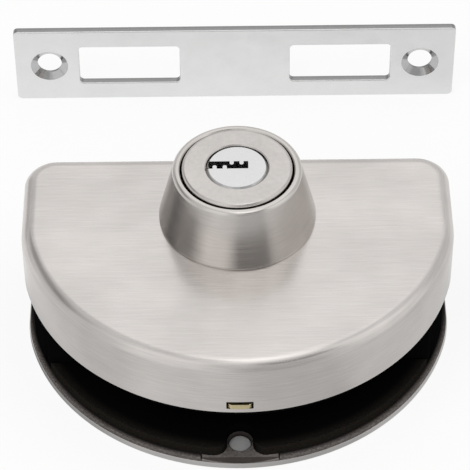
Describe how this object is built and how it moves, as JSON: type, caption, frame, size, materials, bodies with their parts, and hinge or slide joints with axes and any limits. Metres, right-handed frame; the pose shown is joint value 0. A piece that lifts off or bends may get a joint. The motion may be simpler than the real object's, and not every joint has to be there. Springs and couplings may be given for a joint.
{
  "type": "glass door lock",
  "caption": "Half-moon clamp-on lock for a glass door: key cylinder in a cone guard, flat bolts moved by a rack and pinion, rubber-lined glass slot and a strike plate.",
  "frame": {"origin": "on the cylinder's axis, in the flat back face", "axes": "+X along the straight edge, +Y from the cylinder to the straight edge that the bolts leave, +Z out of the front face"},
  "size_m": [0.12, 0.1353, 0.0527],
  "materials": {
    "front_cover_steel": "fine straight brushing along X, satin",
    "back_cover_steel": "fine straight brushing, satin",
    "guard_steel": "satin turned, brushed round the axis",
    "housing_steel": "satin turned face",
    "plug_chrome": "polished",
    "cast_plate": "dark grey cast",
    "cast_foot": "dark grey cast",
    "cast_case": "black cast",
    "cast_chassis": "plain zinc casting",
    "gasket_rubber": "matt black",
    "catch_brass": "plain brass",
    "pin_brass": "plain brass",
    "bolt_steel": "nickel plated",
    "slide_steel": "plated steel",
    "plated_steel": "zinc plated",
    "faceplate_steel": "fine brushing along X",
    "stud_steel": "plain end",
    "spring_steel": "spring wire",
    "strike_steel": "pale satin",
    "screw_steel": "nickel plated"
  },
  "bodies": {
    "lock_body": {"front_cover": "front_cover_steel", "back_cover": "back_cover_steel", "cylinder_guard": "guard_steel", "cylinder_housing": "housing_steel", "back_plate": "cast_plate", "plate_foot": "cast_foot", "lock_case": "cast_case", "chassis": "cast_chassis", "back_gasket": "gasket_rubber", "front_gasket": "gasket_rubber", "driver_pins": "pin_brass", "pin_caps": "pin_brass", "case_cover": "plated_steel", "guard_nut": "plated_steel", "catch_bracket": "plated_steel", "faceplate": "faceplate_steel", "cover_stud": "stud_steel", "cover_pegs": "plated_steel", "catch_spring": "spring_steel", "pin_springs": "spring_steel", "strike_plate": "strike_steel", "back_plate_screws": "screw_steel", "case_cover_screws": "screw_steel", "faceplate_screws": "screw_steel", "cylinder_screws": "screw_steel", "chassis_screws": "screw_steel", "bracket_screws": "screw_steel"},
    "plug": {"cylinder_plug": "plug_chrome", "tail_pinion": "slide_steel", "tail_screws": "screw_steel", "key_pins": "pin_brass"},
    "bolts": {"bolt_left": "bolt_steel", "bolt_right": "bolt_steel", "bolt_carrier": "slide_steel", "carrier_pins": "slide_steel"},
    "catch": {"cover_catch": "catch_brass"}
  },
  "joints": [
    {"name": "key_turn", "type": "hinge", "parent": "lock_body", "child": "plug", "pos_m": [0, 0, 0.0526], "axis": [0, 0, 1], "range_deg": [0, 360]},
    {"name": "bolt_throw", "type": "slide", "parent": "lock_body", "child": "bolts", "axis": [0, 1, 0], "range_m": [0, 0.0151]},
    {"name": "catch_press", "type": "slide", "parent": "lock_body", "child": "catch", "axis": [0, 1, 0], "range_m": [0, 0.0018], "stiffness_N_per_m": 150, "springref_m": -0.004, "deforming": ["catch_spring"]}
  ],
  "couplings": [
    {"joint": "key_turn", "follows": "bolt_throw", "rad_per_m": 416.1}
  ]
}
